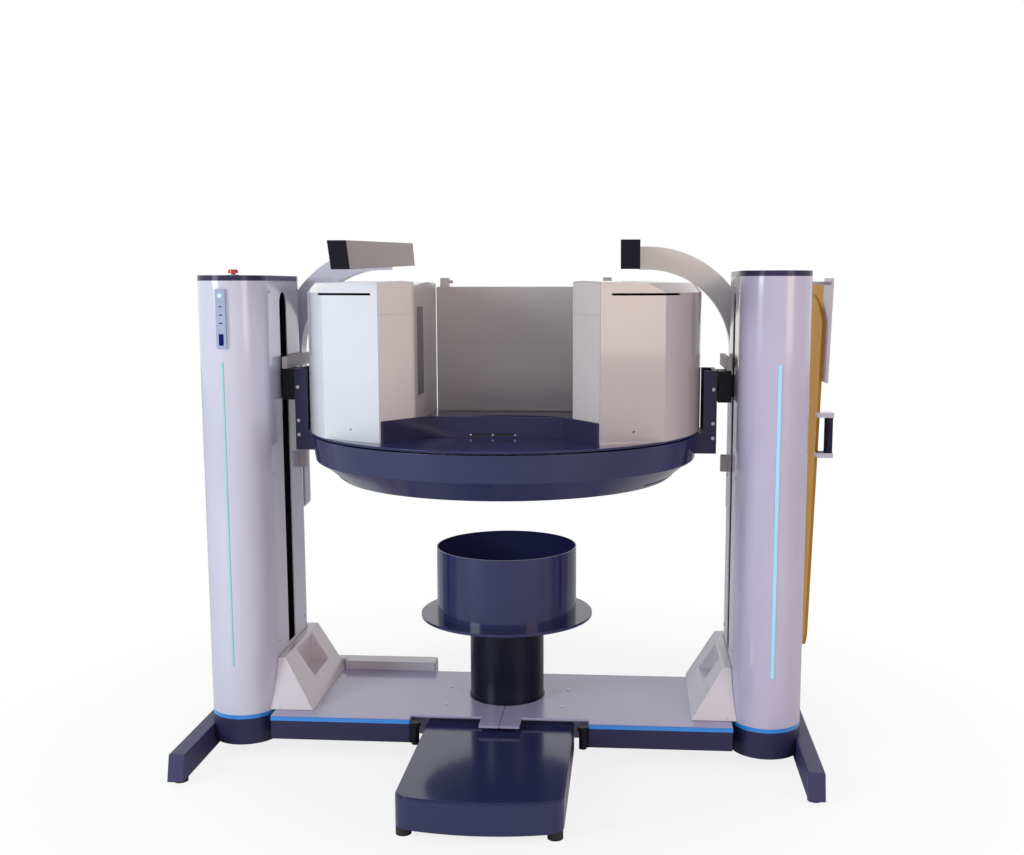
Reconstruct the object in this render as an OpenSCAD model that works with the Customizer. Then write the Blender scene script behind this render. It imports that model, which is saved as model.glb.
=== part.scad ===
// Standing cone-beam scanner: two lift columns carry a round gantry over a raised foot tub.
// Origin on the floor at the tub axis, X to the right of the viewer, Y to the back, Z up.

/* [Columns] */
// Distance from the tub axis to each column's centre line
column_x = 763; // [755:1:775]
// Radius of the column's rounded front and back
column_r = 99; // [97:1:101]
// Where the front rounding has its centre
column_front_y = -140; // [-145:1:-136]
// Where the back rounding has its centre
column_rear_y = 151; // [147:1:156]
// Top edge of the left column's white shell
shell_top_z = 1377; // [1374:1:1382]
// How much taller the right column's shell is
right_rise = 12; // [0:1:16]
// Sheet thickness of the column shell
shell_wall = 3; // [2:0.5:4]
// Thickness of the dark cap on each column
cap_t = 15; // [12:1:18]
// Width of the slot that the carriage neck runs in
slot_w = 70; // [66:1:76]
// Bottom end of the slot
slot_bottom_z = 287; // [283:1:295]
// Top of the slot's round end
slot_top_z = 1345; // [1335:1:1350]

/* [Base] */
// Height of the base top above the floor
base_top_z = 130; // [128:1:134]
// Underside of the base above the floor
base_bottom_z = 60; // [55:1:64]
// Front face of the base
base_front_y = -240; // [-245:1:-236]
// Back face of the base
base_back_y = 190; // [185:1:200]
// Half width of the recess that the step stands in
recess_half = 257; // [252:1:262]
// Side position of the seam between the two base covers
seam_x = 5; // [0:1:10]
// Underside of the column feet above the floor
foot_bottom_z = 38; // [34:1:42]
// Width of one outrigger bar
outrigger_w = 46; // [42:1:50]
// Inner face of the outrigger bars
outrigger_x = 846; // [844:1:850]
// Top of the outrigger bars
outrigger_top_z = 85; // [80:1:90]
// Front end of the outrigger bars
outrigger_front_y = -434; // [-450:1:-420]
// Rear end of the outrigger bars
outrigger_rear_y = 420; // [400:1:440]

/* [Step] */
// Half width of the step platform
step_half = 213; // [205:1:220]
// Front of the step at its middle
step_front_y = -733; // [-740:1:-725]
// Step corner position to the front
step_corner_y = -703; // [-708:1:-698]
// Step tread above the floor
step_top_z = 108; // [104:1:110]
// Underside of the step above the floor
step_bottom_z = 23; // [20:1:28]

/* [Pedestal and tub] */
// Radius of the pedestal tube
pedestal_r = 111; // [105:1:116]
// Underside of the tub disc
disc_z = 382; // [376:1:390]
// Radius of the tub disc
disc_r = 257; // [250:1:258]
// Thickness of the tub disc
disc_t = 8; // [6:1:10]
// Outer radius of the foot tub
tub_r = 209; // [204:1:214]
// Height of the foot tub wall
tub_h = 202; // [195:1:210]

/* [Gantry] */
// Height of the tilt axis with the gantry raised
pivot_z = 1075; // [1073:1:1076]
// Upper rim radius of the pan
pan_rim_r = 565; // [562:1:566]
// Radius of the lower edge of the pan's upright band
pan_band_r = 555; // [552:1:558]
// Radius of the pan's flat bottom
pan_floor_r = 480; // [474:1:486]
// Upper rim height of the pan
pan_rim_z = 943; // [941:1:944]
// Height of the lower edge of the band
pan_band_z = 870; // [866:1:874]
// Height of the pan's flat bottom
pan_floor_z = 812; // [808:1:816]
// Radius of the hole through the deck
bore_r = 278; // [276:1:279]
// Sheet thickness of the pan
pan_wall = 5; // [4:0.5:6]
// Radius of the tilt pins
pin_r = 14; // [12:1:16]

/* [Turning ring] */
// Underside of the deck
deck_z = 947; // [946:1:948]
// Thickness of the deck
deck_t = 6; // [5:0.5:7]
// Outer radius of the tower covers
tower_r = 568; // [567:0.5:569]
// Height of the tower ridge
tower_top_z = 1376; // [1370:1:1378]
// Height where the tower's upper bevel starts
tower_edge_z = 1345; // [1342:1:1347]
// Sheet thickness of the tower covers and panels
cover_t = 4; // [3:0.5:5]
// Side position of the towers' inner faces
inner_x = 280; // [278:1:284]
// Outer radius of the bearing's turning ring
ring_r = 352; // [346:1:358]

/* [Handrails] */
// Inner side of each handrail
rail_x = 340; // [334:1:345]
// Width of a handrail
rail_w = 48; // [44:1:52]
// Height of a handrail
rail_h = 71; // [66:1:74]
// Underside of a handrail at its front end
rail_front_z = 1404; // [1402:1:1410]
// Underside of a handrail at its rear end
rail_rear_z = 1428; // [1424:1:1432]
// Front end of a handrail at its underside
rail_front_y = -502; // [-515:1:-490]
// Rear end of a handrail at its underside
rail_rear_y = 402; // [390:1:412]
// Outer radius of a handrail arm
arm_r = 326; // [322:1:330]
// Radial width of a handrail arm
arm_band = 70; // [66:1:74]

/* [Fits] */
// Radial play of a pin or shaft in its bore
running_fit = 0.05; // [0.03:0.01:0.08]
// Gap beside a sliding guide
guide_gap = 0.4; // [0.3:0.05:0.6]
// Gap between moving surfaces that never touch
free_gap = 1; // [0.6:0.1:1.5]

/* [Hidden] */

$fn = 96;
column_inner_x = column_x - column_r;
frame_top_z = base_top_z - 15;
stripe_top_z = base_top_z - 3;
recess_y = base_front_y + 72;
skirt_y = recess_y - 3;
lip_y = base_front_y + 32;
tongue_y = base_front_y - 36;
lip_t = 7;
foot_floor_t = 12;
foot_wall = 6;
frame_front_x = column_inner_x + shell_wall;
frame_web_x = 832;
frame_web_t = 8;
flange_y = 104;
flange_t = 8;
frame_bottom_z = foot_bottom_z + foot_floor_t;
frame_top = shell_top_z - 5;
guide_x = 728;
guide_w = 20;
guide_h = 12;
screw_x = 780;
screw_r = 10;
journal_r = 8;
motor_top_z = frame_bottom_z + 101;
bearing_z = 1334;
bearing_t = 22;
pan_bore_r = bore_r + 7;
left_bar_half_w = 2.5;
right_bar_half_w = 5;
panel_y0 = column_front_y + 1;
panel_y1 = column_rear_y - 1;
deck_top_z = deck_z + deck_t;
seat_z = 880;
bearing_top_z = 940;
drive_room = pan_floor_r - ring_r;
outer_ring_t = 0.3 * drive_room;
roller_r = 0.2 * drive_room;
roller_x = ring_r + 0.7 * drive_room;

// Keeps the child and adds its mirror image on the other side.
module both_sides() {
  children();
  mirror([1, 0, 0]) children();
}

// Plan of a column, grown outwards by a margin.
module column_plan(grow = 0) {
  r = column_r + grow;
  translate([column_x, column_front_y]) circle(r = r);
  translate([column_x, column_rear_y]) circle(r = r);
  translate([column_x - r, column_front_y]) square([2 * r, column_rear_y - column_front_y]);
}

module column_solid(z0, z1, grow = 0) {
  translate([0, 0, z0]) linear_extrude(z1 - z0) column_plan(grow);
}

// A profile drawn in Y and Z, pushed along X from x0.
module along_x(x0, width) {
  translate([x0, 0, 0]) rotate([90, 0, 90]) linear_extrude(width) children();
}

// A profile drawn in X and Z, pushed along Y from y0 to the back.
module along_y(y0, depth) {
  translate([0, y0 + depth, 0]) rotate([90, 0, 0]) linear_extrude(depth) children();
}

module block(x0, x1, y0, y1, z0, z1) {
  translate([x0, y0, z0]) cube([x1 - x0, y1 - y0, z1 - z0]);
}

// Base.

// Welded tray between the columns, with cross ribs.
module base_frame() {
  x = column_inner_x;
  wall = 5;
  color("dimgray") difference() {
    block(-x, x, base_front_y, base_back_y, base_bottom_z, frame_top_z);
    block(-recess_half, recess_half, base_front_y - 1, recess_y, base_bottom_z - 1, frame_top_z + 1);
    for (bay = [[-x + wall, -402], [-398, -162], [-158, 158], [162, 398], [402, x - wall]]) {
      block(bay[0], bay[1], recess_y + wall, base_back_y - wall, base_bottom_z + 6, frame_top_z + 1);
    }
    both_sides() for (bay = [[recess_half + wall, 398], [402, x - wall]]) {
      block(bay[0], bay[1], base_front_y + wall, recess_y + wall + 1, base_bottom_z + 6, frame_top_z + 1);
    }
  }
}

// Pads under the outriggers and the step, and a foot under the pedestal.
module floor_pads() {
  pad_x = outrigger_x + outrigger_w / 2;
  step_pad_x = step_half - 22;
  color("black") {
    cylinder(h = base_bottom_z, r = 60);
    both_sides() {
      for (y = [outrigger_front_y + 24, outrigger_rear_y - 25]) {
        translate([pad_x, y, 0]) cylinder(h = 12, r = 20);
      }
      for (y = [step_corner_y + 24, -300]) {
        translate([step_pad_x, y, 0]) cylinder(h = step_bottom_z, r = 20);
      }
    }
  }
}

// Floor bars beside the columns, with sloped ends and an open underside.
module outriggers() {
  color("dimgray") both_sides() difference() {
    along_x(outrigger_x, outrigger_w) polygon([
      [outrigger_front_y - 20, 12], [outrigger_front_y, outrigger_top_z],
      [outrigger_rear_y, outrigger_top_z], [outrigger_rear_y + 20, 12]]);
    block(outrigger_x + 5, outrigger_x + outrigger_w - 5, outrigger_front_y + 50,
      outrigger_rear_y - 51, 11, outrigger_top_z - 5);
  }
}

// Plan of the whole base cover, with the tongue that reaches over the step.
module cover_plan() {
  x = column_inner_x;
  difference() {
    translate([-x, base_front_y]) square([2 * x, base_back_y - base_front_y]);
    translate([-recess_half, base_front_y - 1]) square([2 * recess_half, lip_y - base_front_y + 1]);
    circle(r = pedestal_r + 0.2);
  }
  translate([-53, tongue_y]) square([116, lip_y - tongue_y + 1]);
}

// Cover with a thin lip over the step, a skirt behind the step and room for the blue band.
module cover_body() {
  x = column_inner_x;
  block(-recess_half, recess_half, skirt_y, recess_y, base_bottom_z, base_top_z - 1);
  difference() {
    translate([0, 0, frame_top_z]) linear_extrude(base_top_z - frame_top_z) cover_plan();
    block(-recess_half, recess_half, tongue_y - 1, skirt_y, frame_top_z - 1, base_top_z - lip_t);
    for (x0 = [-x - 1, recess_half]) {
      block(x0, x0 + x - recess_half + 1, base_front_y - 1, base_front_y + 6, frame_top_z - 1,
        stripe_top_z);
    }
    difference() {
      union() {
        block(4 - x, x - 4, recess_y + 5, base_back_y - 4, frame_top_z - 1, base_top_z - 5);
        both_sides() block(recess_half + 4, x - 4, base_front_y + 10, recess_y + 6,
          frame_top_z - 1, base_top_z - 5);
      }
      translate([0, 0, frame_top_z - 2]) cylinder(h = 20, r = pedestal_r + 6);
      block(seam_x - 6, seam_x + 6, -400, 400, frame_top_z - 2, base_top_z);
    }
  }
}

module base_cover_left() {
  color("white") intersection() {
    cover_body();
    block(-column_inner_x, seam_x - 0.6, -400, 400, 0, 200);
  }
}

module base_cover_right() {
  color("white") intersection() {
    cover_body();
    block(seam_x + 0.6, column_inner_x, -400, 400, 0, 200);
  }
}

// Raised cable duct behind the left half of the base.
module rear_ledge() {
  top_z = base_top_z + 27;
  color("white") difference() {
    union() {
      block(-548, -254, base_back_y, base_back_y + 60, base_bottom_z, top_z);
      block(-650, -547, gusset_back_y, base_back_y + 60, base_bottom_z, top_z);
    }
    block(-544, -258, base_back_y + 4, base_back_y + 56, base_bottom_z - 1, top_z - 4);
    block(-646, -543, gusset_back_y + 4, base_back_y + 56, base_bottom_z - 1, top_z - 4);
  }
}

gusset_front_y = -195;
gusset_front_top_y = -152;
gusset_back_y = 212;
gusset_top_z = 277;
gusset_lean = atan2(gusset_front_top_y - gusset_front_y, gusset_top_z - base_top_z);

// Sloping fairings at the column roots, each with a leaning front and a sunk hand pocket.
module gussets() {
  color("white") both_sides() difference() {
    intersection() {
      along_y(gusset_front_y, gusset_back_y - gusset_front_y)
        polygon([[549, base_top_z], [640, gusset_top_z], [700, gusset_top_z], [700, base_top_z]]);
      along_x(540, 170) polygon([[gusset_front_y, base_top_z], [gusset_front_top_y, gusset_top_z],
        [gusset_back_y, gusset_top_z], [gusset_back_y, base_top_z]]);
    }
    block(560, 636, -48, 118, 186, 300);
    column_solid(100, 300);
  }
}

// Black posts with round heads at the ends of the step recess.
module bumpers() {
  room = recess_half - step_half;
  head_r = 0.36 * room;
  post_r = 0.25 * room;
  post_side = recess_half - head_r - 0.3;
  post_y = base_front_y + 2;
  color("black") both_sides() {
    translate([post_side, post_y, base_bottom_z - 4]) cylinder(h = 56, r = post_r);
    translate([post_side, post_y, 110]) cylinder(h = 12, r = head_r);
    block(post_side, recess_half, post_y - 4, post_y + 4, base_bottom_z, 111);
    block(post_side - 4, post_side + 4, post_y, lip_y, base_bottom_z, 111);
  }
}

// Blue band round the column feet and along the front of the base.
module edge_stripe() {
  color("dodgerblue") both_sides() {
    difference() {
      column_solid(frame_top_z, stripe_top_z);
      column_solid(frame_top_z - 1, stripe_top_z + 1, -foot_wall);
    }
    block(recess_half, column_inner_x + 0.5, base_front_y, base_front_y + 6,
      frame_top_z, stripe_top_z);
  }
}

module step_plan(inset) {
  bow = step_corner_y - step_front_y;
  bow_r = (step_half * step_half + bow * bow) / (2 * bow);
  bow_y = step_front_y + bow_r;
  round_r = 45;
  round_x = step_half - round_r;
  drop = sqrt(pow(bow_r - round_r, 2) - round_x * round_x);
  round_y = bow_y - drop;
  side = step_half - inset;
  intersection() {
    translate([0, bow_y]) circle(r = bow_r - inset);
    translate([0, bow_y]) polygon([[-round_x / 2, -drop / 2], [round_x / 2, -drop / 2],
      [2 * round_x, -2 * drop], [-2 * round_x, -2 * drop]]);
  }
  for (s = [-1, 1]) {
    translate([s * round_x, round_y]) circle(r = round_r - inset);
  }
  translate([-side, round_y]) square([2 * side, skirt_y - round_y]);
}

// Step with a bowed front and a softened top edge.
module step_platform() {
  color("slategray") difference() {
    union() {
      translate([0, 0, step_bottom_z]) linear_extrude(step_top_z - step_bottom_z - 6) step_plan(0);
      translate([0, 0, step_top_z - 6]) linear_extrude(3) step_plan(1.5);
      translate([0, 0, step_top_z - 3]) linear_extrude(3) step_plan(5);
    }
    block(-step_half + 50, step_half - 50, step_corner_y + 60, skirt_y - 10,
      step_bottom_z - 1, step_top_z - 10);
  }
}

// Pedestal and tub.

// Upright tube on the base tray, with a trim flange over the cover.
module pedestal() {
  foot_z = base_bottom_z + 6;
  color("dimgray") difference() {
    union() {
      translate([0, 0, foot_z]) cylinder(h = disc_z - foot_z, r = pedestal_r);
      translate([0, 0, base_top_z]) cylinder(h = 4, r = pedestal_r + 3);
    }
    translate([0, 0, foot_z - 1]) cylinder(h = disc_z - foot_z - 5, r = pedestal_r - 6);
  }
}

module tub_disc() {
  color("gray") translate([0, 0, disc_z]) cylinder(h = disc_t, r = disc_r);
}

module foot_tub() {
  z = disc_z + disc_t;
  color("dimgray") difference() {
    translate([0, 0, z]) cylinder(h = tub_h, r = tub_r);
    translate([0, 0, z + 4]) cylinder(h = tub_h, r = tub_r - 3);
  }
}

// Supply box inside the base tray.
module power_unit() {
  color("silver") block(180, 380, -120, 100, base_bottom_z + 6, frame_top_z - 3);
}

// Columns.

// Dark foot ring of each column with a floor plate.
module column_feet() {
  color("dimgray") both_sides() difference() {
    column_solid(foot_bottom_z, frame_top_z);
    column_solid(foot_bottom_z + foot_floor_t, frame_top_z + 1, -foot_wall);
    block(outrigger_x, 900, -500, 500, 0, outrigger_top_z);
  }
}

// Steel channel in each column, with the upper screw bearing.
module column_frames() {
  color("darkgray") both_sides() {
    difference() {
      block(frame_front_x, frame_web_x + frame_web_t, -flange_y - flange_t,
        flange_y + flange_t, frame_bottom_z, frame_top);
      block(frame_front_x - 1, frame_web_x, -flange_y, flange_y,
        frame_bottom_z - 1, frame_top + 1);
      block(frame_front_x - 1, column_inner_x + foot_wall, -flange_y - 9, flange_y + 9,
        frame_bottom_z - 1, stripe_top_z);
    }
    difference() {
      block(screw_x - 24, frame_web_x, -30, 30, bearing_z, bearing_z + bearing_t);
      translate([screw_x, 0, bearing_z - 1]) cylinder(h = bearing_t + 2, r = journal_r + running_fit);
    }
  }
}

// Upright bar at the column nose, grown sideways by play and forwards by reach.
module light_bar(half_w, play, reach) {
  nose_y = column_front_y - column_r;
  bar_x = column_x + 6;
  block(bar_x - half_w - play, bar_x + half_w + play, nose_y - reach, nose_y + 1, 275 - play,
    1152 + play);
}

// White shell with an opening for the slot panel and a groove for the light bar.
module shell_body(top_z, bar_half_w) {
  difference() {
    column_solid(stripe_top_z, top_z);
    column_solid(stripe_top_z - 1, top_z + 1, -shell_wall);
    block(column_inner_x - 5, column_inner_x + 8, panel_y0, panel_y1, base_top_z + 1, top_z - 3);
    light_bar(bar_half_w, 0.1, 5);
  }
}

module column_shell_left() {
  color("white") mirror([1, 0, 0]) shell_body(shell_top_z, left_bar_half_w);
}

module column_shell_right() {
  color("white") shell_body(shell_top_z + right_rise, right_bar_half_w);
}

// Flat inner panel with the long round-topped slot.
module slot_panel(top_z) {
  slot_r = slot_w / 2;
  gap = 0.5;
  difference() {
    block(column_inner_x, column_inner_x + shell_wall, panel_y0 + gap, panel_y1 - gap,
      base_top_z + 1, top_z - 3 - gap);
    block(column_inner_x - 1, column_inner_x + shell_wall + 1, -slot_r, slot_r,
      slot_bottom_z, slot_top_z - slot_r);
    translate([column_inner_x - 1, 0, slot_top_z - slot_r]) rotate([0, 90, 0])
      cylinder(h = shell_wall + 2, r = slot_r);
  }
}

module slot_panels() {
  color("white") {
    mirror([1, 0, 0]) slot_panel(shell_top_z);
    slot_panel(shell_top_z + right_rise);
  }
}

module column_cap(z) {
  difference() {
    column_solid(z, z + cap_t);
    column_solid(z - 1, z + cap_t - 5, -8);
  }
}

// Dark caps on the columns, the left one bored for the stop button.
module column_caps() {
  color("midnightblue") {
    column_cap(shell_top_z + right_rise);
    difference() {
      mirror([1, 0, 0]) column_cap(shell_top_z);
      translate([-column_x, column_front_y, shell_top_z - 1]) cylinder(h = cap_t + 2, r = 9);
    }
  }
}

// Light bars standing up the nose of each column, the right one wider.
module light_strips() {
  color("cyan") {
    mirror([1, 0, 0]) light_bar(left_bar_half_w, 0, 2);
    light_bar(right_bar_half_w, 0, 2);
  }
}

// Linear guides on the flanges of each column channel.
module guide_rails() {
  color("silver") both_sides() {
    for (s = [0, 1]) {
      mirror([0, s, 0]) block(guide_x, guide_x + guide_w, flange_y - guide_h, flange_y,
        frame_bottom_z + 20, frame_top - 30);
    }
  }
}

// Lift motors on the foot plates, bored for the screw journals.
module lift_motors() {
  color("dimgray") both_sides() difference() {
    union() {
      block(screw_x - 32, screw_x + 32, -32, 32, frame_bottom_z, motor_top_z - 20);
      translate([screw_x, 0, motor_top_z - 20]) cylinder(h = 20, r = 22);
    }
    translate([screw_x, 0, motor_top_z - 14]) cylinder(h = 15, r = journal_r + running_fit);
  }
}

// Controls on the left column.

button_x = -767;
button_z = 1336;
panel_front_y = column_front_y - column_r - 7;

// Switch plate on the column nose, bored for the button and cut for the display.
module control_panel() {
  color("lightsteelblue") difference() {
    block(button_x - 14, button_x + 14, panel_front_y, column_front_y - 80, 1190, 1354);
    mirror([1, 0, 0]) column_solid(1100, 1400);
    translate([button_x, panel_front_y + 9, button_z]) rotate([90, 0, 0])
      cylinder(h = 10, r = 6 + running_fit);
    block(button_x - 7, button_x + 7, panel_front_y - 1, panel_front_y + 2, 1198, 1230);
    for (z = [1258, 1281, 1304]) {
      block(button_x - 4, button_x + 4, panel_front_y - 1, panel_front_y + 0.8, z, z + 3);
    }
  }
}

module display() {
  color("navy")
    block(button_x - 7, button_x + 7, panel_front_y + 0.5, panel_front_y + 2, 1198, 1230);
}

// Round push button, standing slightly proud of its plate.
module power_button() {
  color("aquamarine") translate([button_x, panel_front_y + 4, button_z]) rotate([90, 0, 0])
    cylinder(h = 6.5, r = 6);
}

module stop_collar() {
  z = shell_top_z + cap_t;
  color("white") translate([-column_x, column_front_y, z]) difference() {
    cylinder(h = 2.5, r = 16);
    translate([0, 0, -1]) cylinder(h = 5, r = 7 + running_fit);
  }
}

// Red head on its stem, with room under it to be pressed.
module stop_button() {
  z = shell_top_z + cap_t;
  color("red") translate([-column_x, column_front_y, z]) {
    cylinder(h = 8, r = 7);
    translate([0, 0, 6.5]) cylinder(h = 8.5, r = 14);
    translate([0, 0, 15]) cylinder(h = 2, r1 = 14, r2 = 12);
  }
}

// Handrails.

arm_x = 415;
arm_y0 = 212;
arm_y1 = 272;
arm_centre_z = 1156;
leg_bottom_z = 650;

function rail_z(y) = rail_front_z
  + (rail_rear_z - rail_front_z) * (y - rail_front_y) / (rail_rear_y - rail_front_y);

// Curved arms from the rails to legs on the backs of the columns.
module handrail_arms() {
  inner_r = arm_r - arm_band;
  color("white") both_sides() difference() {
    union() {
      translate([arm_x, arm_y1, arm_centre_z]) rotate([90, 0, 0])
        rotate_extrude(angle = 90) translate([inner_r, 0]) square([arm_band, arm_y1 - arm_y0]);
      block(rail_x + rail_w, arm_x, arm_y0, arm_y1, arm_centre_z + inner_r, arm_centre_z + arm_r);
      along_y(arm_y0, arm_y1 - arm_y0) polygon([
        [arm_x + inner_r, leg_bottom_z + 18], [arm_x + inner_r + 18, leg_bottom_z],
        [arm_x + arm_r, leg_bottom_z], [arm_x + arm_r, arm_centre_z],
        [arm_x + inner_r, arm_centre_z]]);
    }
    column_solid(leg_bottom_z - 10, shell_top_z);
  }
}

// Side view of a rail between two distances from its front end.
module rail_profile(from_y, to_y, wall) {
  lean = 35;
  y0 = rail_front_y + from_y;
  y1 = rail_front_y + to_y;
  low = wall;
  high = rail_h - wall;
  polygon([
    [y0 - lean * low / rail_h, rail_z(y0) + low], [y0 - lean * high / rail_h, rail_z(y0) + high],
    [y1 - lean * high / rail_h, rail_z(y1) + high], [y1 - lean * low / rail_h, rail_z(y1) + low]]);
}

rail_length = rail_rear_y - rail_front_y;
rail_cap_t = 6;

// Straight rails of rectangular tube with slanted ends.
module rails() {
  color("tan") both_sides() difference() {
    along_x(rail_x, rail_w) rail_profile(rail_cap_t, rail_length - rail_cap_t, 0);
    along_x(rail_x + 4, rail_w - 8) rail_profile(rail_cap_t - 3, rail_length - rail_cap_t + 3, 4);
  }
}

// End caps with a plug in the tube.
module rail_caps() {
  color("black") both_sides() {
    along_x(rail_x, rail_w) rail_profile(0, rail_cap_t, 0);
    along_x(rail_x + 4.2, rail_w - 8.4) rail_profile(rail_cap_t - 1, rail_cap_t + 20, 4.2);
    along_x(rail_x, rail_w) rail_profile(rail_length - rail_cap_t, rail_length, 0);
    along_x(rail_x + 4.2, rail_w - 8.4)
      rail_profile(rail_length - rail_cap_t - 20, rail_length - rail_cap_t + 1, 4.2);
  }
}

// Board stowed outside the right column.

board_x0 = 925;
board_x1 = 934;
board_y0 = 58;
board_y1 = 440;
board_bottom_z = 270;
board_top_z = 1337;
board_lean = 1.5;
plate_t = 6;

// Leans what hangs on the side plate, so that its lower end is nearer the column.
module leaning() {
  translate([board_x1, 0, board_top_z]) rotate([0, board_lean, 0])
    translate([-board_x1, 0, -board_top_z]) children();
}

// Hanger bars to the column's back and a round-cornered side plate.
module side_bracket() {
  low_z = board_top_z - 252;
  high_z = board_top_z + 48;
  color("linen") {
    leaning() along_x(board_x1, plate_t) {
      translate([-10, low_z]) square([120, high_z - low_z]);
      translate([-20, low_z + 10]) square([140, high_z - low_z - 20]);
      for (y = [-10, 110]) {
        for (z = [low_z + 10, high_z - 10]) {
          translate([y, z]) circle(r = 10);
        }
      }
    }
    difference() {
      block(column_x, board_x1 + 1, 60, 110, high_z - 19, high_z - 10);
      column_solid(shell_top_z - 100, high_z);
    }
    for (z = [board_bottom_z + 60, board_top_z - 300]) {
      difference() {
        block(column_x, board_x0 + 1, 232, 262, z, z + 30);
        column_solid(200, shell_top_z);
        leaning() block(board_x0, board_x0 + 40, 0, 500, 0, board_top_z + 100);
      }
    }
  }
}

// Long support board with a bowed top, and the plain board stowed behind it.
module support_board() {
  width = board_y1 - board_y0;
  corner_r = 60;
  bow_r = 450;
  bow_y = 310;
  color("goldenrod") leaning() {
    along_x(board_x0, board_x1 - board_x0) {
      intersection() {
        translate([board_y0, board_bottom_z + corner_r])
          square([width, board_top_z - board_bottom_z - corner_r]);
        union() {
          translate([bow_y, board_top_z - bow_r]) circle(r = bow_r);
          translate([board_y0, board_bottom_z]) square([width, board_top_z - board_bottom_z - 150]);
        }
      }
      translate([board_y0 + corner_r, board_bottom_z]) square([width - 2 * corner_r, corner_r + 1]);
      for (y = [board_y0 + corner_r, board_y1 - corner_r]) {
        translate([y, board_bottom_z + corner_r]) circle(r = corner_r);
      }
    }
    block(board_x1, board_x1 + plate_t, 121, board_y1, board_bottom_z + 200, board_top_z + 34);
  }
}

// Grip with two end mounts on the board's front edge.
module board_handle() {
  grip_x = 945;
  grip_y = 20;
  low_z = board_top_z - 473;
  high_z = board_top_z - 355;
  color("black") {
    for (z = [low_z, high_z]) {
      block(912, grip_x + 13, grip_y - 13, board_y0, z, z + 14);
    }
    translate([grip_x, grip_y, low_z + 13]) cylinder(h = high_z - low_z - 12, r = 12.5);
  }
}

// Fixings and fittings on the columns.

module panel_screws() {
  color("gray") {
    both_sides() {
      for (at = [[-130, 1347], [0, 1360], [140, 1349], [-130, 822], [140, 790], [-130, 320], [140, 320]]) {
        translate([column_inner_x - 2, at[0], at[1]]) rotate([0, 90, 0]) cylinder(h = 2, r = 4);
      }
      translate([650, gusset_front_y, base_top_z]) rotate([90 - gusset_lean, 0, 0])
        translate([0, 9, 0]) cylinder(h = 2, r = 3.5);
    }
    for (at = [[-181, 40], [-171, -108], [185, 40], [176, -108]]) {
      translate([at[0], at[1], base_top_z]) cylinder(h = 2, r = 5);
    }
  }
}

block_half_y = 52;
block_low_z = pivot_z - 45;
block_high_z = pivot_z + 45;

// Bars over the raised carriages, each on a foot at the slot panel.
module top_stops() {
  color("linen") both_sides() {
    block(column_inner_x - 22, column_inner_x - 7, -50, 240, block_high_z + free_gap,
      block_high_z + free_gap + 35);
    block(column_inner_x - 7, column_inner_x, 60, 140, block_high_z + free_gap + 5,
      block_high_z + free_gap + 30);
  }
}

module side_boxes() {
  color("lightgray") both_sides() block(column_inner_x - 22, column_inner_x, 128, 149, 801, 852);
}

// Lift.

// Screw with a journal at each end.
module screw_body() {
  translate([screw_x, 0, 0]) {
    translate([0, 0, motor_top_z + free_gap])
      cylinder(h = bearing_z - motor_top_z - 2 * free_gap, r = screw_r);
    translate([0, 0, motor_top_z - 12])
      cylinder(h = bearing_z + bearing_t - motor_top_z + 10, r = journal_r);
  }
}

module lift_screw_left() {
  color("silver") mirror([1, 0, 0]) screw_body();
}

module lift_screw_right() {
  color("silver") screw_body();
}

// Sliding block with grooves for the guides, a neck through the slot and the tilt bearing.
module carriage_body() {
  side = flange_y - 6;
  difference() {
    union() {
      block(676, 812, -side, side, pivot_z - 85, pivot_z + 85);
      block(655, 677, -slot_w / 2 + 7, slot_w / 2 - 7, pivot_z - 30, pivot_z + 30);
      block(618, 656, -block_half_y, block_half_y, block_low_z, block_high_z);
    }
    for (s = [0, 1]) {
      mirror([0, s, 0]) block(guide_x - guide_gap, guide_x + guide_w + guide_gap,
        flange_y - guide_h - guide_gap, side + 1, pivot_z - 86, pivot_z + 86);
    }
    translate([screw_x, 0, pivot_z - 86]) cylinder(h = 172, r = screw_r + running_fit);
    translate([617, 0, pivot_z]) rotate([0, 90, 0]) cylinder(h = 33, r = pin_r + running_fit);
  }
}

module carriage_left() {
  color("black") mirror([1, 0, 0]) carriage_body();
}

module carriage_right() {
  color("black") carriage_body();
}

// Gantry.

module pan_outline(grow = 0) {
  polygon([[0, pan_floor_z], [pan_floor_r, pan_floor_z], [pan_band_r + grow, pan_band_z],
    [pan_rim_r + grow, pan_rim_z], [0, pan_rim_z]]);
}

// Side plates with flanges, a foot that hugs the pan and the tilt pin.
module gantry_brackets() {
  low = pivot_z - 170;
  high = pivot_z + 48;
  color("dimgray") both_sides() {
    difference() {
      union() {
        block(601, 613, -76, 76, low, high);
        block(575, 602, -76, -68, low, high);
        block(575, 602, 68, 76, low, high);
        block(500, 613, -76, 76, low - 20, pan_rim_z);
      }
      rotate_extrude() pan_outline();
      translate([0, 0, pan_rim_z - 2]) cylinder(h = 10, r = pan_rim_r + 0.2);
    }
    translate([612, 0, pivot_z]) rotate([0, 90, 0]) cylinder(h = 34, r = pin_r);
  }
}

// Bolt heads on the front flanges of the brackets.
module bracket_bolts() {
  color("white") both_sides() {
    for (dz = [-5, -103, -145]) {
      translate([603, -76, pivot_z + dz]) rotate([90, 0, 0]) cylinder(h = 4, r = 5);
    }
  }
}

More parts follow.
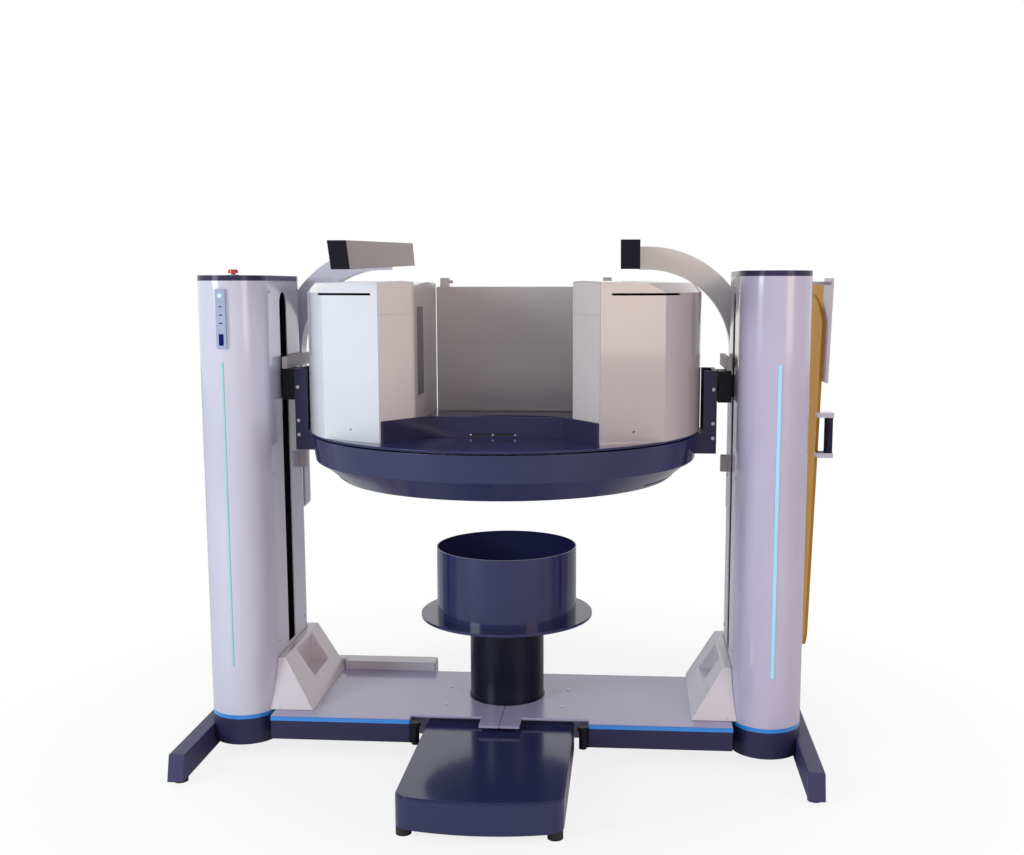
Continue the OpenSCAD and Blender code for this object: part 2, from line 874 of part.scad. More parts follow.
// Static round pan with the bore wall and the bearing seat.
module pan() {
  w = pan_wall;
  color("slategray") difference() {
    rotate_extrude() difference() {
      pan_outline();
      polygon([[pan_bore_r + w, pan_floor_z + w], [pan_floor_r - 4, pan_floor_z + w],
        [pan_band_r - w, pan_band_z + 2], [pan_rim_r - w, pan_rim_z + 1],
        [pan_bore_r + w, pan_rim_z + 1]]);
      square([pan_bore_r, 2000]);
    }
    for (side = [0, 180]) {
      rotate([0, 0, side]) pan_recess();
    }
  }
  color("slategray") rotate_extrude() {
    translate([ring_r + 3, pan_floor_z + w - 1])
      square([outer_ring_t, seat_z - pan_floor_z - w + 1]);
  }
}

// Shallow sunk field on the cone beside each bracket.
module pan_recess() {
  translate([0, 0, pan_floor_z + 12]) rotate_extrude(angle = 70, start = -35)
    polygon([[pan_floor_r + 13, 0], [pan_floor_r + 19, -3], [pan_band_r - 6, 40], [pan_band_r - 12, 42]]);
}

module bearing_outer_ring() {
  color("silver") rotate_extrude()
    translate([ring_r + running_fit, seat_z]) square([outer_ring_t, bearing_top_z - seat_z]);
}

motor_half = 0.2 * drive_room;
motor_h = deck_z - pan_floor_z - pan_wall - 40;

// Motor on the pan floor that turns the ring through a roller.
module rotation_motor() {
  color("dimgray") translate([0, roller_x, 0]) difference() {
    translate([-30, -motor_half, pan_floor_z + pan_wall]) cube([60, 2 * motor_half, motor_h]);
    translate([0, 0, pan_floor_z + pan_wall + motor_h - 20])
      cylinder(h = 30, r = 6 + running_fit);
  }
}

// Friction roller beside the rim under the deck.
module drive_roller() {
  top = pan_floor_z + pan_wall + motor_h;
  color("black") translate([0, roller_x, 0]) {
    translate([0, 0, top - 18]) cylinder(h = 20, r = 6);
    translate([0, 0, top + free_gap]) cylinder(h = 38, r = roller_r);
  }
}

// Turning ring.

rim_r = roller_x - roller_r - 0.4;

// Turning race with the rim that the roller drives.
module bearing_inner_ring() {
  color("silver") rotate_extrude() {
    translate([ring_r - 46, seat_z + free_gap]) square([46, deck_z - seat_z - free_gap]);
    translate([ring_r - 1, bearing_top_z + free_gap])
      square([rim_r - ring_r + 1, deck_z - bearing_top_z - free_gap]);
    translate([rim_r - 12, 904]) square([12, deck_z - 904]);
  }
}

module deck() {
  color("slategray") rotate_extrude()
    translate([bore_r, deck_z]) square([tower_r - 2 - bore_r, deck_t]);
}

// Low front wall between the towers, with cable slots at its foot.
module coaming() {
  wall = 8;
  y = -bore_r - 1;
  reach = 0.96;
  turn = atan2(front_y - corner_y, front_x - corner_x);
  side_len = reach * norm([front_x - corner_x, front_y - corner_y]);
  back_len = (y - corner_y) / -sin(turn);
  half = corner_x - back_len * cos(turn) + 3;
  color("dimgray") difference() {
    translate([0, 0, deck_top_z]) linear_extrude(57) {
      translate([-half, y - wall]) square([2 * half, wall]);
      for (s = [0, 1]) {
        mirror([s, 0]) translate([corner_x, corner_y]) rotate(turn)
          translate([-back_len, -wall]) square([side_len + back_len, wall]);
      }
    }
    for (x = [-36, 24]) {
      block(x - 24, x + 24, y - wall - 1, y - wall + 3, deck_top_z + 4, deck_top_z + 11);
    }
  }
}

// Body of revolution that gives the towers their sloping tops.
module tower_solid(inset) {
  rotate_extrude() polygon([
    [150, deck_top_z], [tower_r - inset, deck_top_z], [tower_r - inset, tower_edge_z - inset / 2],
    [tower_r - 23 - inset / 2, tower_edge_z + 26 - inset], [420, tower_top_z - inset],
    [150, tower_top_z - 16 - inset]]);
}

front_x = 0.51 * tower_r;
front_y = -0.74 * tower_r;
corner_x = 0.375 * tower_r;
corner_y = -0.55 * tower_r;
rear_y = 0.79 * tower_r;

// Plan of the right tower.
module tower_plan() {
  intersection() {
    circle(r = tower_r);
    polygon([[corner_x, corner_y], [front_x, front_y], [front_x + 310, front_y + 155],
      [front_x + 310, rear_y], [inner_x, rear_y], [inner_x, -205]]);
  }
}

// Everything inside the curved wall and the front flat.
module cover_inside_plan() {
  x = front_x - cover_t * 0.447;
  y = front_y + cover_t * 0.894;
  intersection() {
    circle(r = tower_r - cover_t);
    polygon([[x - 200, y - 100], [x + 400, y + 200], [x + 400, 700], [x - 200, 700]]);
  }
}

module raise_plan() {
  translate([0, 0, deck_top_z]) linear_extrude(600) children();
}

// Curved outer cover with its roof, a dark slot under the bevel and a fixing dimple.
module tower_cover(slot_from, slot_to) {
  difference() {
    union() {
      intersection() {
        tower_solid(0);
        raise_plan() difference() {
          tower_plan();
          cover_inside_plan();
        }
      }
      intersection() {
        difference() {
          tower_solid(0);
          tower_solid(cover_t);
        }
        raise_plan() tower_plan();
      }
    }
    translate([0, 0, tower_edge_z - 7]) rotate_extrude(angle = slot_to - slot_from, start = slot_from)
      translate([480, 0]) square([100, 6]);
    rotate([0, 0, -45]) translate([500, 0, deck_top_z + 30]) rotate([0, 90, 0]) cylinder(h = 100, r = 3);
  }
}

module tower_cover_left() {
  color("white") mirror([1, 0, 0]) tower_cover(-53, -33);
}

module tower_cover_right() {
  color("white") tower_cover(-52, -29);
}

// Flat panels that close the front and the back of each tower.
module end_panels() {
  t = cover_t;
  color("gainsboro") both_sides() difference() {
    intersection() {
      tower_solid(cover_t);
      raise_plan() intersection() {
        cover_inside_plan();
        union() {
          polygon([[corner_x + t, corner_y - 5.6], [front_x, front_y], [front_x + 3.3, front_y + 2.3],
            [corner_x + t + 3.3, corner_y - 3.3]]);
          translate([inner_x + t, rear_y - t]) square([200, t]);
        }
      }
    }
    translate([0, 0, 1288]) linear_extrude(1.5)
      polygon([[corner_x - 2, corner_y - 1], [front_x - 2, front_y - 1], [front_x + 1, front_y + 0.6],
        [corner_x + 1, corner_y + 0.6]]);
  }
}

window_z0 = 1030;
window_z1 = 1300;
window_y0 = 95;
window_y1 = 205;

// Inner walls of the towers with an opening for the window.
module inner_panels() {
  t = cover_t;
  color("whitesmoke") both_sides() difference() {
    intersection() {
      tower_solid(cover_t);
      raise_plan() polygon([[corner_x, corner_y], [inner_x, -205], [inner_x, rear_y],
        [inner_x + t, rear_y], [inner_x + t, -206.2], [corner_x + t, corner_y - 5.6]]);
    }
    block(inner_x - 1, inner_x + t + 1, window_y0, window_y1, window_z0, window_z1);
  }
}

module windows() {
  color("black") both_sides()
    block(inner_x + 1, inner_x + cover_t, window_y0, window_y1, window_z0, window_z1);
}

post_x = 470;
housing_top_z = tower_top_z - 16;

// Steel angle in each tower that carries the source or the detector.
module tower_frames() {
  color("darkgray") both_sides() {
    block(post_x, post_x + 10, -150, 150, deck_top_z, 1330);
    block(320, post_x + 10, -150, 150, deck_top_z, deck_top_z + 8);
  }
}

module rear_housing() {
  half = inner_x - 10;
  y0 = rear_y - 49;
  y1 = rear_y + 31;
  t = cover_t;
  color("white") difference() {
    block(-half, half, y0, y1, deck_top_z, housing_top_z);
    block(-half + t, half - t, y0 + t, y1 - t, deck_top_z - 1, housing_top_z - t);
  }
}

// Small boxes on the roof, one with a knob.
module laser_boxes() {
  side = 28;
  y0 = rear_y - 44;
  y1 = y0 + 30;
  left_x = 22 - inner_x;
  color("gainsboro") {
    block(left_x, left_x + side, y0, y1, housing_top_z, housing_top_z + side);
    translate([left_x + side, (y0 + y1) / 2, housing_top_z + 16]) rotate([0, 90, 0]) cylinder(h = 12, r = 5);
    difference() {
      block(inner_x - 6, inner_x - 6 + side, y0, y1, housing_top_z - 10, tower_top_z + 14);
      tower_solid(0);
    }
  }
}

// Tube housing on an arm, with the beam box towards the window.
module xray_source() {
  color("lightgray") {
    block(-post_x, -430, -40, 40, 1110, 1190);
    translate([-400, 100, 1150]) rotate([90, 0, 0]) cylinder(h = 200, r = 50);
    block(-365, -300, -45, 45, 1105, 1195);
  }
}

// Flat panel on a bracket opposite the source.
module detector() {
  color("dimgray") {
    block(300, 330, -150, 150, 990, 1310);
    block(329, post_x, -40, 40, 1100, 1200);
  }
}

base_frame();
floor_pads();
outriggers();
base_cover_left();
base_cover_right();
rear_ledge();
gussets();
bumpers();
edge_stripe();
step_platform();
pedestal();
tub_disc();
foot_tub();
power_unit();
column_feet();
column_frames();
column_shell_left();
column_shell_right();
slot_panels();
column_caps();
light_strips();
guide_rails();
lift_motors();
control_panel();
display();
stop_collar();
handrail_arms();
rails();
rail_caps();
side_bracket();
support_board();
board_handle();
panel_screws();
top_stops();
side_boxes();
lift_screw_left();
lift_screw_right();
carriage_left();
carriage_right();
stop_button();
power_button();
gantry_brackets();
bracket_bolts();
pan();
bearing_outer_ring();
rotation_motor();
drive_roller();
bearing_inner_ring();
deck();
coaming();
tower_cover_left();
tower_cover_right();
end_panels();
inner_panels();
windows();
tower_frames();
rear_housing();
laser_boxes();
xray_source();
detector();
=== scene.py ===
import math

import bmesh
import bpy
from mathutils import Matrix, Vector


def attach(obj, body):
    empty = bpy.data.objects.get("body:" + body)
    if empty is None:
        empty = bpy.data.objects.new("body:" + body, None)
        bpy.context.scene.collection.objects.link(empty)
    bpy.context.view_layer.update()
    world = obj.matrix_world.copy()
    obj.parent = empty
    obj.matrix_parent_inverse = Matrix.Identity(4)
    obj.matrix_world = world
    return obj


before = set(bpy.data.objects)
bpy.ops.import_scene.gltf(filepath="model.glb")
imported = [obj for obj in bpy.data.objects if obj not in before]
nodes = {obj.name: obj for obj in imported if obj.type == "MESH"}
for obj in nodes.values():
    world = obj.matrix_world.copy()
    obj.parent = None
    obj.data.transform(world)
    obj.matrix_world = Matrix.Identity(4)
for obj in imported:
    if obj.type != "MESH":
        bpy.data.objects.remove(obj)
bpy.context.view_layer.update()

# Camera, as worked out from the photograph
CAMERA_PLACE = (0.370, -3.459, 1.364)
CAMERA_YAW_DEG = 4.14
CAMERA_PITCH_DEG = -7.7
CAMERA_LENS_MM = 41.53
CAMERA_SENSOR_MM = 36.0
CAMERA_SHIFT = (-0.0336, 0.0172)
CAMERA_REACH = 60.0

# Light from the surroundings that reaches matt surfaces
ROOM_COLOUR = (0.93, 0.94, 1.0, 1.0)
ROOM_STRENGTH = 0.42

# Floor: half its side, and how it fades to white between two distances from its middle
FLOOR_HALF = 14.0
FLOOR_FADE_NEAR = 0.7
FLOOR_FADE_FAR = 1.7
FLOOR_WHITE_NEAR = 0.82

# Fine structure that all finishes share
COAT_ROUGHNESS = 0.06
TONE_SCALE = 6.0
TONE_DETAIL = 3.0
GRAIN_DETAIL = 2.0
GRAIN_DEPTH = 0.0006
ROUGH_LOW = 0.9
ROUGH_HIGH = 1.12
ROUGH_EXTRA = 0.01

# Sunk marks of the switch plate: middle, half width, and the heights and depths of their floors
SWITCH_X = -0.767
SWITCH_MARK_HALF = 0.005
SWITCH_MARK_Z = (1.24, 1.32)
SWITCH_MARK_Y = (-0.2458, -0.2445)

# Two slots in the front of the coaming, whose walls take painted shade: reach to each side,
# heights, and depth just past the front
COAMING_FRONT_Y = -0.287
SLOT_REACH_X = 0.07
SLOT_Z = (0.9535, 0.966)
SLOT_PAST_FRONT_Y = COAMING_FRONT_Y + 0.0002

# Heights between which the board's handle is its dark grip
GRIP_Z = (0.877, 0.983)

# A face of the board belongs to its edge where the direction it faces is less sideways than this
BOARD_EDGE_SIDEWAYS = 0.5

# Small bright screws on the front of the coaming
SCREW_X = (-0.066, -0.006, 0.055)
SCREW_Z = 0.960
SCREW_R = 0.0024
SCREW_SIDES = 20

# Distance in front of the wall, and share of the radius, at each turn of a screw head's profile
SCREW_PROFILE = [(0.0, 1.0), (0.0006, 1.0), (0.0012, 0.80), (0.0014, 0.45), (0.0004, 0.42)]
SCREW_EDGE_DEG = 40


def set_input(shader, name, value):
    """Sets one socket of a shader node."""
    shader.inputs[name].default_value = value


def noise(tree, place, scale, detail):
    """A noise texture that reads its place from a socket."""
    made = tree.nodes.new("ShaderNodeTexNoise")
    set_input(made, "Scale", scale)
    set_input(made, "Detail", detail)
    tree.links.new(place, made.inputs["Vector"])
    return made.outputs["Fac"]


def vary_tone(tree, shader, cloud, colour, rough, tone):
    """Lets a slow noise change the roughness and the base colour a little."""
    ramp = tree.nodes.new("ShaderNodeMapRange")
    set_input(ramp, "To Min", rough * ROUGH_LOW)
    set_input(ramp, "To Max", min(1.0, rough * ROUGH_HIGH + ROUGH_EXTRA))
    tree.links.new(cloud, ramp.inputs["Value"])
    tree.links.new(ramp.outputs["Result"], shader.inputs["Roughness"])
    mix = tree.nodes.new("ShaderNodeMix")
    mix.data_type = "RGBA"
    set_input(mix, "A", (*[part * (1.0 - tone) for part in colour], 1.0))
    set_input(mix, "B", (*[min(1.0, part * (1.0 + tone)) for part in colour], 1.0))
    tree.links.new(cloud, mix.inputs["Factor"])
    tree.links.new(mix.outputs["Result"], shader.inputs["Base Color"])


def add_grain(tree, shader, place, strength, scale):
    """Adds a fine bump to a finish."""
    bump = tree.nodes.new("ShaderNodeBump")
    set_input(bump, "Strength", strength)
    set_input(bump, "Distance", GRAIN_DEPTH)
    tree.links.new(noise(tree, place, scale, GRAIN_DETAIL), bump.inputs["Height"])
    tree.links.new(bump.outputs["Normal"], shader.inputs["Normal"])


def surface(name, colour, rough, metal=0.0, coat=0.0, grain=0.0, grain_scale=400.0, tone=0.03,
            glow=None, glow_strength=0.0, stretch=(1.0, 1.0, 1.0), shine=0.5):
    """A procedural finish: base colour with faint tone change, gloss and a fine bump."""
    made = bpy.data.materials.new(name)
    made.use_nodes = True
    tree = made.node_tree
    shader = tree.nodes["Principled BSDF"]
    set_input(shader, "Base Color", (*colour, 1.0))
    set_input(shader, "Metallic", metal)
    set_input(shader, "Roughness", rough)
    set_input(shader, "Coat Weight", coat)
    set_input(shader, "Coat Roughness", COAT_ROUGHNESS)
    set_input(shader, "Specular IOR Level", shine)
    place = tree.nodes.new("ShaderNodeTexCoord")
    mapping = tree.nodes.new("ShaderNodeMapping")
    set_input(mapping, "Scale", stretch)
    tree.links.new(place.outputs["Object"], mapping.inputs["Vector"])
    cloud = noise(tree, mapping.outputs["Vector"], TONE_SCALE, TONE_DETAIL)
    vary_tone(tree, shader, cloud, colour, rough, tone)
    if grain > 0.0:
        add_grain(tree, shader, mapping.outputs["Vector"], grain, grain_scale)
    if glow is not None:
        set_input(shader, "Emission Color", (*glow, 1.0))
        set_input(shader, "Emission Strength", glow_strength)
    return made


FINISHES = {
    # White shells and covers, each in the tone that the room's light gives it in the photo
    "white": surface("white gloss shell", (0.63, 0.61, 0.72), 0.20, coat=0.5, grain=0.04,
                     grain_scale=90.0),
    # Painted shade: a darker, warmer copy of the white shell for the right column, which stands in
    # dimmer light
    "white_shaded_right": surface("gloss shell with painted shade", (0.545, 0.505, 0.66), 0.20, coat=0.5, grain=0.04,
                           grain_scale=90.0),
    "tower": surface("white tower cover", (0.74, 0.74, 0.80), 0.16, coat=0.7, grain=0.04,
                     grain_scale=80.0),
    # Painted shade: a darker, warmer copy of the tower cover's white for the right tower, which
    # stands in dimmer light
    "tower_shaded_right": surface("tower cover with painted warm shade", (0.50, 0.455, 0.46), 0.18, coat=0.6,
                           grain=0.04, grain_scale=80.0),
    "panel": surface("satin warm panel", (0.62, 0.57, 0.56), 0.38, coat=0.2, grain=0.06),
    # Painted light: a brighter copy of the panel finish for the left half of the end panels
    "panel_lit_left": surface("lit warm panel", (0.78, 0.72, 0.71), 0.38, coat=0.2, grain=0.06),
    "base_white": surface("lavender base cover", (0.40, 0.37, 0.55), 0.24, coat=0.35, grain=0.05),
    "gusset": surface("warm white fairing", (0.66, 0.61, 0.65), 0.28, coat=0.4, grain=0.05),
    # Painted light: a brighter, warmer copy of the white shell for the right half of the handrail
    # arms
    "arm_lit_right": surface("gloss arm with painted warm light", (0.86, 0.82, 0.78), 0.20, coat=0.4, grain=0.04,
                         grain_scale=90.0),
    "beige": surface("beige plate", (0.62, 0.56, 0.52), 0.45, grain=0.08),
    "side_plate": surface("lavender side plate", (0.62, 0.56, 0.64), 0.32, coat=0.3, grain=0.05),

    # Dark paints, plastics and rubber
    "slate": surface("slate gloss paint", (0.028, 0.030, 0.100), 0.13, coat=0.16, grain=0.05,
                     grain_scale=120.0, shine=0.30),
    "tub_inside": surface("tub wall", (0.026, 0.028, 0.105), 0.12, coat=0.22, grain=0.05,
                          grain_scale=120.0, shine=0.32),
    "dark": surface("dark satin paint", (0.026, 0.024, 0.072), 0.40, grain=0.10, shine=0.3),
    "bar": surface("dark bar paint", (0.046, 0.042, 0.112), 0.40, grain=0.10, shine=0.3),
    "pedestal": surface("dark pedestal paint", (0.004, 0.004, 0.018), 0.26, grain=0.08, shine=0.25),
    "black": surface("black plastic", (0.006, 0.005, 0.011), 0.40, grain=0.15, shine=0.2),
    # Near black, for the column frames and, as painted shade, for the walls of the coaming slots
    "inside": surface("dark inside and painted slot shade", (0.006, 0.006, 0.009), 0.60, grain=0.10),
    "rubber": surface("rubber", (0.008, 0.008, 0.009), 0.75, grain=0.3),
    "cap": surface("purple black cap", (0.034, 0.026, 0.080), 0.18, shine=0.25),
    "grip": surface("navy grip", (0.008, 0.007, 0.028), 0.45, grain=0.2, shine=0.2),
    "window": surface("dark window", (0.014, 0.016, 0.040), 0.16, coat=0.4),

    # Bare metals
    "steel": surface("brushed steel", (0.50, 0.50, 0.52), 0.32, metal=1.0, grain=0.15,
                     stretch=(1, 1, 30)),
    "aluminium": surface("cast grey metal", (0.42, 0.42, 0.44), 0.42, metal=0.8, grain=0.12),
    "rail": surface("brushed rail", (0.205, 0.155, 0.145), 0.36, metal=0.75, grain=0.35,
                    grain_scale=220.0, stretch=(1, 0.05, 1)),
    "screw": surface("bright screw", (0.50, 0.49, 0.50), 0.34, metal=0.9, grain=0.1),

    # Board at the right; its faint glow is painted light, standing in for the light that comes
    # through it
    "amber": surface("amber board with painted glow", (0.55, 0.33, 0.10), 0.45, tone=0.22, shine=0.0,
                     glow=(0.40, 0.26, 0.10), glow_strength=0.6),
    "board_edge": surface("brown board edge with painted glow", (0.28, 0.14, 0.030), 0.45, tone=0.15, shine=0.1,
                          glow=(0.30, 0.14, 0.02), glow_strength=0.4),

    # Controls, lit strips and the blue band
    "blue_band": surface("blue band", (0.030, 0.26, 0.74), 0.25, coat=0.4),
    "light_left": surface("teal lit strip", (0.30, 0.62, 0.62), 0.3, glow=(0.30, 0.80, 0.76),
                          glow_strength=0.12),
    "light_right": surface("blue lit strip", (0.34, 0.66, 0.82), 0.3, glow=(0.35, 0.78, 0.95),
                           glow_strength=0.18),
    "switch_plate": surface("pale blue switch plate", (0.36, 0.42, 0.60), 0.35),
    "display": surface("display glass", (0.004, 0.008, 0.12), 0.10, shine=0.1),
    "red": surface("red button", (0.70, 0.008, 0.008), 0.22, coat=0.5),
    "lit_button": surface("lit button", (0.55, 0.82, 0.80), 0.3, glow=(0.55, 0.90, 0.85),
                          glow_strength=0.2),
}

NODE_FINISH = {
    # Floor, base and pedestal
    "base_frame": "dark", "floor_pads": "rubber", "outriggers": "bar",
    "base_cover_left": "base_white", "base_cover_right": "base_white",
    "rear_ledge": "gusset", "gussets": "gusset", "bumpers": "black",
    "edge_stripe": "blue_band", "step_platform": "slate", "pedestal": "pedestal",
    "tub_disc": "slate", "foot_tub": "tub_inside", "power_unit": "aluminium",

    # Columns with their lifts and controls
    "column_feet": "dark", "column_frames": "inside", "column_shell_left": "white",
    # The right column shell takes the painted-shade copy of the white shell
    "column_shell_right": "white_shaded_right", "slot_panels": "white", "column_caps": "cap",
    "light_strips": "light_left", "guide_rails": "steel", "lift_motors": "aluminium",
    "control_panel": "switch_plate", "display": "display", "stop_collar": "white",
    "panel_screws": "steel", "top_stops": "beige", "side_boxes": "beige",
    "lift_screw_left": "steel", "lift_screw_right": "steel",
    "carriage_left": "black", "carriage_right": "black",
    "stop_button": "red", "power_button": "lit_button",

    # Handrails and the board at the right
    "handrail_arms": "white", "rails": "rail", "rail_caps": "black",
    "side_bracket": "side_plate", "support_board": "amber", "board_handle": "grip",

    # Gantry and turning ring
    "gantry_brackets": "dark", "bracket_bolts": "white", "pan": "slate",
    "bearing_outer_ring": "steel", "rotation_motor": "aluminium", "drive_roller": "rubber",
    "bearing_inner_ring": "steel", "deck": "slate", "coaming": "dark",
    # The right tower cover takes the painted-shade copy of the tower white
    "tower_cover_left": "tower", "tower_cover_right": "tower_shaded_right",
    "end_panels": "panel", "inner_panels": "panel", "windows": "window",
    "tower_frames": "steel", "rear_housing": "panel", "laser_boxes": "panel",
    "xray_source": "aluminium", "detector": "dark",
}

# Edge rounding in metres for the nodes whose edges catch the light
SOFT_EDGE = {
    "step_platform": 0.003, "outriggers": 0.003, "base_frame": 0.0015, "bumpers": 0.002,
    "base_cover_left": 0.002, "base_cover_right": 0.002, "rear_ledge": 0.004, "gussets": 0.004,
    "tub_disc": 0.0015, "foot_tub": 0.001, "column_feet": 0.001, "light_strips": 0.0006,
    "control_panel": 0.001, "stop_button": 0.0015, "top_stops": 0.002, "side_boxes": 0.0015,
    "carriage_left": 0.002, "carriage_right": 0.002, "handrail_arms": 0.002, "rails": 0.0015,
    "rail_caps": 0.0015, "side_bracket": 0.001, "support_board": 0.002,
    "gantry_brackets": 0.002, "pan": 0.003, "deck": 0.001, "coaming": 0.0015,
    "end_panels": 0.0012, "rear_housing": 0.005, "laser_boxes": 0.002,
}
WELD_GAP = 0.00001
BEVEL_STEPS = 3

# Smallest angle in degrees that counts as an edge, for most nodes and for the others
USUAL_EDGE_ANGLE = 28
EDGE_ANGLE = {
    "pan": 14, "end_panels": 20, "inner_panels": 20, "gussets": 20, "support_board": 24,
}

# Nodes whose curved walls keep the smooth shading of the exact surface
EXACT_SHADING = ("tower_cover_left", "tower_cover_right")


def on_right(middle, facing):
    """Faces in the right half."""
    return middle.x > 0.0


def on_left(middle, facing):
    """Faces in the left half."""
    return middle.x < 0.0


def in_switch_mark(middle, facing):
    """Floors of the sunk marks in the switch plate."""
    in_width = abs(middle.x - SWITCH_X) < SWITCH_MARK_HALF
    in_height = SWITCH_MARK_Z[0] < middle.z < SWITCH_MARK_Z[1]
    in_depth = SWITCH_MARK_Y[0] < middle.y < SWITCH_MARK_Y[1]
    return in_width and in_height and in_depth


def in_coaming_slot(middle, facing):
    """Walls of the two slots in the coaming, which take painted shade."""
    in_width = abs(middle.x) < SLOT_REACH_X
    in_height = SLOT_Z[0] < middle.z < SLOT_Z[1]
    return in_width and in_height and middle.y > SLOT_PAST_FRONT_Y


def on_handle_mount(middle, facing):
    """The two mounts above and below the dark grip."""
    return middle.z < GRIP_Z[0] or middle.z > GRIP_Z[1]


def on_board_edge(middle, facing):
    """The narrow faces round the board, which don't face sideways."""
    return abs(facing.x) < BOARD_EDGE_SIDEWAYS


# Second finish of a node, and the test for the faces that take it
SECOND_FINISH = {
    "light_strips": ("light_right", on_right),
    "control_panel": ("black", in_switch_mark),
    # The walls of the coaming slots take the near-black finish as painted shade
    "coaming": ("inside", in_coaming_slot),
    # The right half of the handrail arms takes the painted-light copy of the white shell
    "handrail_arms": ("arm_lit_right", on_right),
    # The left half of the end panels takes the painted-light copy of the panel finish
    "end_panels": ("panel_lit_left", on_left),
    "board_handle": ("white", on_handle_mount),
    "support_board": ("board_edge", on_board_edge),
}


def paint(name, thing):
    """Gives a node its finish, and some of its faces the second one."""
    thing.data.materials.clear()
    thing.data.materials.append(FINISHES[NODE_FINISH[name]])
    if name in SECOND_FINISH:
        second, takes_it = SECOND_FINISH[name]
        thing.data.materials.append(FINISHES[second])
        for face in thing.data.polygons:
            face.material_index = 1 if takes_it(face.center, face.normal) else 0


def soften(name, thing):
    """Shades a node smoothly between its edges, and rounds the edges that catch the light."""
    angle = math.radians(EDGE_ANGLE.get(name, USUAL_EDGE_ANGLE))
    thing.data.shade_smooth()
    if name in SOFT_EDGE and "custom_normal" in thing.data.attributes:
        thing.data.attributes.remove(thing.data.attributes["custom_normal"])
    thing.data.set_sharp_from_angle(angle=angle)
    if name in SOFT_EDGE:
        weld = thing.modifiers.new("weld", "WELD")
        weld.merge_threshold = WELD_GAP
        soft = thing.modifiers.new("soft edges", "BEVEL")
        soft.width = SOFT_EDGE[name]
        soft.segments = BEVEL_STEPS
        soft.limit_method = "ANGLE"
        soft.angle_limit = angle
        soft.harden_normals = True


def dress_nodes():
    """Finish and edges of every node of the frame."""
    for name in NODE_FINISH:
        thing = nodes[name]
        paint(name, thing)
        if name not in EXACT_SHADING:
            soften(name, thing)


def screw_head(shape, middle_x):
    """One small domed screw head with a socket, facing the front."""
    rings = []
    for depth, share in SCREW_PROFILE:
        ring = []
        for step in range(SCREW_SIDES):
            turn = 2.0 * math.pi * step / SCREW_SIDES
            across = middle_x + SCREW_R * share * math.cos(turn)
            height = SCREW_Z + SCREW_R * share * math.sin(turn)
            ring.append(shape.verts.new((across, COAMING_FRONT_Y - depth, height)))
        rings.append(ring)
    for outer, inner in zip(rings, rings[1:]):
        for step in range(SCREW_SIDES):
            after = (step + 1) % SCREW_SIDES
            shape.faces.new((outer[step], outer[after], inner[after], inner[step]))
    shape.faces.new(rings[-1])


def deck_screws():
    """The small bright screws on the coaming, which turn with the ring."""
    shape = bmesh.new()
    for middle_x in SCREW_X:
        screw_head(shape, middle_x)
    bmesh.ops.recalc_face_normals(shape, faces=shape.faces)
    mesh = bpy.data.meshes.new("deck_screws")
    shape.to_mesh(mesh)
    shape.free()
    made = bpy.data.objects.new("deck_screws", mesh)
    bpy.context.scene.collection.objects.link(made)
    made.data.materials.append(FINISHES["screw"])
    made.data.shade_smooth()
    made.data.set_sharp_from_angle(angle=math.radians(SCREW_EDGE_DEG))
    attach(made, "turning_ring")


def floor_finish():
    """Pale floor that fades to plain white away from the object."""
    made = surface("pale floor", (0.92, 0.92, 0.93), 0.6, tone=0.005)
    tree = made.node_tree
    shader = tree.nodes["Principled BSDF"]
    out = tree.nodes["Material Output"]
    place = tree.nodes.new("ShaderNodeTexCoord")
    length = tree.nodes.new("ShaderNodeVectorMath")
    length.operation = "LENGTH"
    tree.links.new(place.outputs["Object"], length.inputs[0])
    fade = tree.nodes.new("ShaderNodeMapRange")
    set_input(fade, "From Min", FLOOR_FADE_NEAR)
    set_input(fade, "From Max", FLOOR_FADE_FAR)
    set_input(fade, "To Min", FLOOR_WHITE_NEAR)
    set_input(fade, "To Max", 1.0)
    tree.links.new(length.outputs["Value"], fade.inputs["Value"])
    path = tree.nodes.new("ShaderNodeLightPath")
    seen = tree.nodes.new("ShaderNodeMath")
    seen.operation = "MULTIPLY"
    tree.links.new(path.outputs["Is Camera Ray"], seen.inputs[0])
    tree.links.new(fade.outputs["Result"], seen.inputs[1])
    white = tree.nodes.new("ShaderNodeEmission")
    set_input(white, "Strength", 1.0)
    mix = tree.nodes.new("ShaderNodeMixShader")
    tree.links.new(seen.outputs["Value"], mix.inputs["Fac"])
    tree.links.new(shader.outputs["BSDF"], mix.inputs[1])
    tree.links.new(white.outputs["Emission"], mix.inputs[2])
    tree.links.new(mix.outputs["Shader"], out.inputs["Surface"])
    return made


def stand_in_floor():
    """A wide pale floor under the object."""
    sheet = bmesh.new()
    bmesh.ops.create_grid(sheet, x_segments=4, y_segments=4, size=FLOOR_HALF)
    mesh = bpy.data.meshes.new("floor")
    sheet.to_mesh(mesh)
    sheet.free()
    floor = bpy.data.objects.new("floor", mesh)
    bpy.context.scene.collection.objects.link(floor)
    floor.data.materials.append(floor_finish())


def area_light(name, place, target, size, power, colour):
    """A soft lamp with a rectangular face, aimed at a point."""
    lamp = bpy.data.lights.new(name, "AREA")
    lamp.shape = "RECTANGLE"
    lamp.size = size[0]
    lamp.size_y = size[1]
    lamp.energy = power
    lamp.color = colour
    holder = bpy.data.objects.new(name, lamp)
    holder.location = place
    aim = Vector(target) - Vector(place)
    holder.rotation_euler = aim.to_track_quat("-Z", "Y").to_euler()
    bpy.context.scene.collection.objects.link(holder)


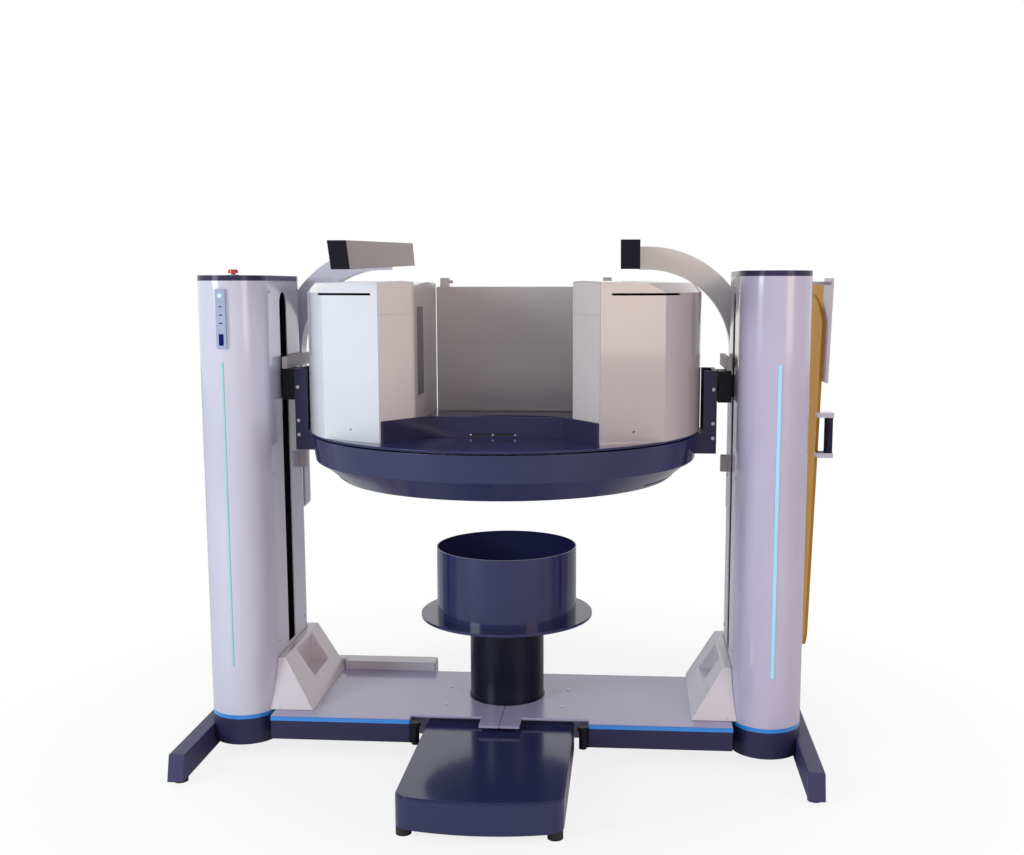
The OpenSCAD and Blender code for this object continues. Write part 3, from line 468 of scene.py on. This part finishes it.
def lamps():
    """Cool light from the left, warm light from the right, and a little from above."""
    area_light("key lamp", place=(-3.6, -3.4, 2.4), target=(-0.2, 0.0, 0.9), size=(1.4, 2.2),
               power=116.0, colour=(0.86, 0.96, 1.0))
    area_light("fill lamp", place=(3.4, -3.2, 2.0), target=(0.2, 0.0, 0.8), size=(1.6, 2.2),
               power=42.0, colour=(1.0, 0.76, 0.64))
    area_light("front lamp", place=(2.6, -3.9, 2.8), target=(0.45, -0.3, 1.1), size=(1.2, 1.2),
               power=18.0, colour=(1.0, 0.88, 0.82))
    area_light("top lamp", place=(0.0, 0.2, 4.6), target=(0.0, 0.0, 0.8), size=(3.0, 3.0),
               power=10.0, colour=(0.95, 0.95, 1.0))


def white_surroundings():
    """White seen straight on, mirrored and through glass; softer light elsewhere."""
    world = bpy.data.worlds.new("studio")
    bpy.context.scene.world = world
    world.use_nodes = True
    tree = world.node_tree
    tree.nodes.clear()
    out = tree.nodes.new("ShaderNodeOutputWorld")
    path = tree.nodes.new("ShaderNodeLightPath")
    light = tree.nodes.new("ShaderNodeBackground")
    set_input(light, "Color", ROOM_COLOUR)
    set_input(light, "Strength", ROOM_STRENGTH)
    seen = tree.nodes.new("ShaderNodeBackground")
    set_input(seen, "Color", (1.0, 1.0, 1.0, 1.0))
    set_input(seen, "Strength", 1.0)
    glossy = tree.nodes.new("ShaderNodeMath")
    glossy.operation = "MAXIMUM"
    both = tree.nodes.new("ShaderNodeMath")
    both.operation = "MAXIMUM"
    tree.links.new(path.outputs["Is Camera Ray"], glossy.inputs[0])
    tree.links.new(path.outputs["Is Glossy Ray"], glossy.inputs[1])
    tree.links.new(glossy.outputs["Value"], both.inputs[0])
    tree.links.new(path.outputs["Is Transmission Ray"], both.inputs[1])
    choose = tree.nodes.new("ShaderNodeMixShader")
    tree.links.new(both.outputs["Value"], choose.inputs["Fac"])
    tree.links.new(light.outputs["Background"], choose.inputs[1])
    tree.links.new(seen.outputs["Background"], choose.inputs[2])
    tree.links.new(choose.outputs["Shader"], out.inputs["Surface"])


def set_camera():
    """The photograph's camera."""
    lens = bpy.data.cameras.new("camera")
    lens.sensor_width = CAMERA_SENSOR_MM
    lens.sensor_fit = "HORIZONTAL"
    lens.lens = CAMERA_LENS_MM
    lens.shift_x = CAMERA_SHIFT[0]
    lens.shift_y = CAMERA_SHIFT[1]
    lens.clip_end = CAMERA_REACH
    lens.dof.use_dof = False
    holder = bpy.data.objects.new("camera", lens)
    holder.location = CAMERA_PLACE
    pitch = math.radians(90.0 + CAMERA_PITCH_DEG)
    holder.rotation_euler = (pitch, 0.0, math.radians(CAMERA_YAW_DEG))
    bpy.context.scene.collection.objects.link(holder)
    bpy.context.scene.camera = holder


dress_nodes()
deck_screws()
stand_in_floor()
white_surroundings()
lamps()
set_camera()
bpy.context.scene.view_settings.view_transform = "Standard"
